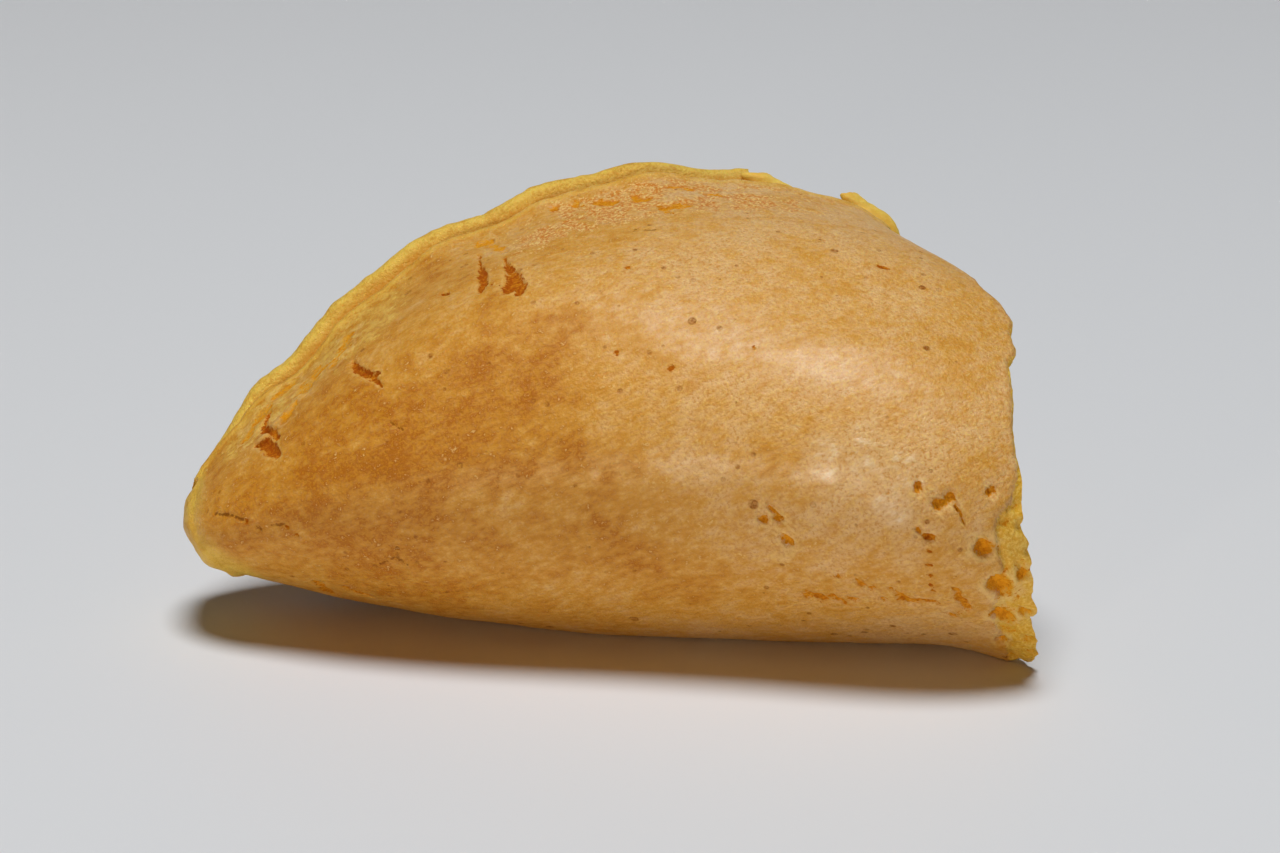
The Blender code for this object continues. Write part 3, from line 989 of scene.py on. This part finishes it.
# %% The rim and the crumb
streaked = baked.mix((2.4 * (patch - 0.42) + 2.0 * ragged).clamped(), RIM_GOLD, RIM_BROWN)
# painted shade: a darker orange in the recess between the layers
streaked = baked.mix((here["groove_shade"] + 0.8 * ragged).clamped(), streaked, GROOVE_SHADE)
skin = baked.mix((1.2 * here["golden"] + 0.6 * ragged - 0.1).clamped(), skin, streaked)
yellow = baked.mix(grain.past(0.42, steep=3), CRUMB_SHADE, CRUMB)
skin = baked.mix((here["crumb"] + ragged).past(0.4, steep=4), skin, yellow)
skin = baked.mix(0.8 * (1.3 * (here["pale"] + ragged) - 0.2).clamped(), skin, LIP)
print("with the rim and the crumb,", len(baked.tree.nodes), "nodes")

# %% Hollows and cracks
in_hollow = (here["hollow"] + 1.5 * ragged).past(0.5, steep=4)
floor = baked.mix((here["deep"] + 1.6 * ragged).past(0, steep=1.2), ORANGE_HOLLOW, DEEP_HOLLOW)
skin = baked.mix(in_hollow, skin, floor)
cracked = (here["crack"] + ragged).past(0.72, steep=5)
skin = baked.mix(0.6 * cracked, skin, CRACK)
print("with the hollows and cracks,", len(baked.tree.nodes), "nodes")

# %% [markdown]
# Skin shines where it is pale or filmed, and not in a hole, so the shine is a coat that the marks take away.
# A real hollow is deep orange throughout, because the light that leaves it has met its floor many times. In a
# plain shader it would still gleam white, so a share of Metallic tints the gleam with the hollow's colour.

# %% Shine and bumps
rough = 0.44 + 0.14 * brown - 0.2 * here["film"] + 0.4 * (grain - 0.5) + 0.4 * in_hollow
height = (0.9 + 0.6 * here["golden"]) * grain + wrinkle - 0.3 * holes - 0.3 * cracked - 0.4 * in_hollow
glaze = (0.6 * here["film"] + 0.25 * (1 - brown)) * (1 - in_hollow) * (1 - holes) * (1 - here["golden"])
baked.surface(skin, rough, height, strength=0.65, distance=0.14 * MM)
baked.ends({"Coat Weight": glaze, "Metallic": 0.5 * in_hollow * here["deep"] + 0.5 * cracked})
print("the crust's finish has", len(baked.tree.nodes), "nodes in all")

# %% [markdown]
# The fold presses the skin of the inside together and doesn't tear it, so it is smoother and more even. The
# broken edge is bare crumb between two thin lines of skin, and its bubbles are painted a darker orange, more
# the deeper they are, as shade in their hollows.

# %% The finish of the inside
lined = Finish("smooth_lining")
fine = noise_signal(lined, 0.35, detail=3.0)
patches = noise_signal(lined, 3.0, detail=3.0, seed=2.0)
skin = lined.mix(patches.past(0.3, steep=2), GOLDEN_SKIN, PALE_SKIN)
skin = lined.mix(fine.past(0.5, steep=1.5), skin, BROWN_SKIN)
lined.surface(skin, 0.42 + 0.2 * (fine - 0.5), fine, strength=0.4, distance=0.05 * MM)
print("the lining's finish has", len(lined.tree.nodes), "nodes")

# %% The finish of the broken edge
bare = Finish("yellow_crumb")
fine = noise_signal(bare, 0.25, detail=3.0)
skin = bare.mix(fine.past(0.35, steep=1.8), RIM_GOLD, CRUMB)
# painted shade in the broken edge: the deeper a bubble, the more orange; on the scraps an uneven orange tone
skin = bare.mix(bare.known("hollow").past(0, steep=1.5), skin, ORANGE_HOLLOW)
skin = bare.mix(bare.known("skin_line"), skin, GOLDEN_SKIN)
bare.surface(skin, 0.6 + 0.2 * (fine - 0.5), fine, strength=0.6, distance=0.08 * MM)
print("the crumb's finish has", len(bare.tree.nodes), "nodes")

# %% [markdown]
# ## The pieces
#
# The crust takes the place of the plain solid. The lining and the broken edge only dress what it has there.

# %% The crust, the lining and the broken edge
# the rows that close the tip know what the row before them does
known = {label: np.pad(values, ((0, CLOSING_ROWS), (0, 0)), "edge") for label, values in known.items()}
crust_piece = sheet_piece("crust", crust, baked, **known)
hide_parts(NODE)
sheet_piece("lining", lining, lined, turned=True)
skin_line = 1 - ramp(depth_in_wall, 0.02, 0.1)
# painted shade: the orange of the edge's bubbles follows their depth
edge_bubble_shade = strip_hollow * 2 * within
sheet_piece("broken_edge", strip, bare, turned=True, hollow=edge_bubble_shade, skin_line=skin_line)
print("three pieces made")

# %% [markdown]
# Where the back layer broke away, two scraps of its crumb stayed on the front rim. Each is a ball, made
# uneven by the noise and sunk into the crest.


# %% Scraps left on the rim
HALF_DEEP = 0.6  # half a scrap's depth, in mm
rim_line = crust[: ROW_COUNT + 1, front_crest]


def scrap(name, x, half_long, half_high, above):
    """A scrap of crumb behind the rim at this x, with its middle so far above the crest."""
    row = int(np.argmin(np.abs(rim_line[:, 0] - shift[0] - x)))
    turn, round_it = np.meshgrid(np.linspace(0, np.pi, 25), np.linspace(0, 2 * np.pi, 41), indexing="ij")
    long_way, front_way, up_way = (part[row, front_crest] for part in (crust_along, crust_front, crust_up))
    out_front = HALF_DEEP * np.sin(turn) * np.cos(round_it)
    out_up = half_high * np.sin(turn) * np.sin(round_it)
    ball = (half_long * np.cos(turn))[..., None] * long_way
    ball = ball + out_front[..., None] * front_way + out_up[..., None] * up_way
    ball = ball * (1 + 0.28 * lumps(ball + 20 * row, 0.9, 111) + 0.2 * lumps(ball, 0.4, 112))[..., None]
    points = rim_line[row] - HALF_DEEP * front_way + above * up_way + ball
    hollowed = 0.12 + 0.25 * lumps(points, 0.8, 113)
    return sheet_piece(name, points, bare, hollow=hollowed, skin_line=0 * turn)


scrap("scrap_by_the_break", x=15.6, half_long=1.9, half_high=1.2, above=0.85)
scrap("scrap_by_the_crest", x=9.4, half_long=1.5, half_high=0.7, above=0.55)
print("two scraps made")

# %% [markdown]
# ## Stage, light and camera
#
# The piece lies on a pale sweep. One lamp hangs nearly over it, so the top of the wall shines and the shadow
# gathers under the fold. A weak one, low and to the left, lights the fold. The camera looks down by 18
# degrees, from the side of the front wall.

# %% The floor and its sweep
BACK, RISE, BEND = 0.7, 0.6, 0.25  # the backdrop's place and height, and its bend's radius
SIDE = 1.2  # how far the floor reaches to the sides and to the front
bend = np.linspace(0, np.pi / 2, 24)[1:]
bend = [(BACK - BEND + BEND * np.sin(turn), BEND - BEND * np.cos(turn)) for turn in bend]
profile = [(-SIDE, 0.0), (BACK - BEND, 0.0), *bend, (BACK, RISE)]
points = [(x, y, z) for y, z in profile for x in (-SIDE, SIDE)]
faces = [(2 * i, 2 * i + 1, 2 * i + 3, 2 * i + 2) for i in range(len(profile) - 1)]
paper = Finish("pale_paper")
paper.ends({"Base Color": colour(228, 228, 230), "Roughness": 0.6})
sweep = shaped("sweep", points, faces, paper)
print("the floor reaches", round(sweep.dimensions.y, 2), "m back")

# %% Lamps
MIDDLE = (0, 0, 0.01)


def aimed(name, data, place, aim):
    """An object that stands here and looks at the aim."""
    made = placed(name, data)
    made.location = place
    made.rotation_euler = (Vector(aim) - Vector(place)).to_track_quat("-Z", "Y").to_euler()
    return made


def lamp(name, place, width, power, tint):
    """A round lamp here, aimed at the middle of the wafer."""
    light = bpy.data.lights.new(name, "AREA")
    light.shape, light.size, light.energy, light.color = "DISK", width, power, tint
    aimed(name, light, place, MIDDLE)


lamp("over_lamp", place=(0.0, -0.07, 0.55), width=0.22, power=2.6, tint=(0.955, 0.985, 1.0))
lamp("low_lamp", place=(-0.2, -0.5, 0.022), width=0.04, power=0.8, tint=(1.0, 0.9, 0.74))
world = bpy.data.worlds.new("soft_room")
world.use_nodes = True
background = world.node_tree.nodes["Background"]
background.inputs["Color"].default_value = (1.0, 0.62, 0.38, 1)
background.inputs["Strength"].default_value = 0.015
bpy.context.scene.world = world
bpy.context.scene.view_settings.view_transform = "Standard"
print("two lamps and a dim room")

# %% The camera
ELEVATION = np.radians(18)
DISTANCE = 0.308
LOOKS_AT = (np.array([1.75, 9.0, 11.84]) - shift) * MM  # given on the wafer's own axes
LENS, SENSOR = 153.5, 36
camera_data = bpy.data.cameras.new("camera")
camera_data.lens, camera_data.sensor_width, camera_data.clip_start = LENS, SENSOR, 0.01
away = DISTANCE * np.array([0, -np.cos(ELEVATION), np.sin(ELEVATION)])
camera = bpy.context.scene.camera = aimed("camera", camera_data, LOOKS_AT + away, LOOKS_AT)
print("the camera stands", round(camera.location.length, 3), "m away")
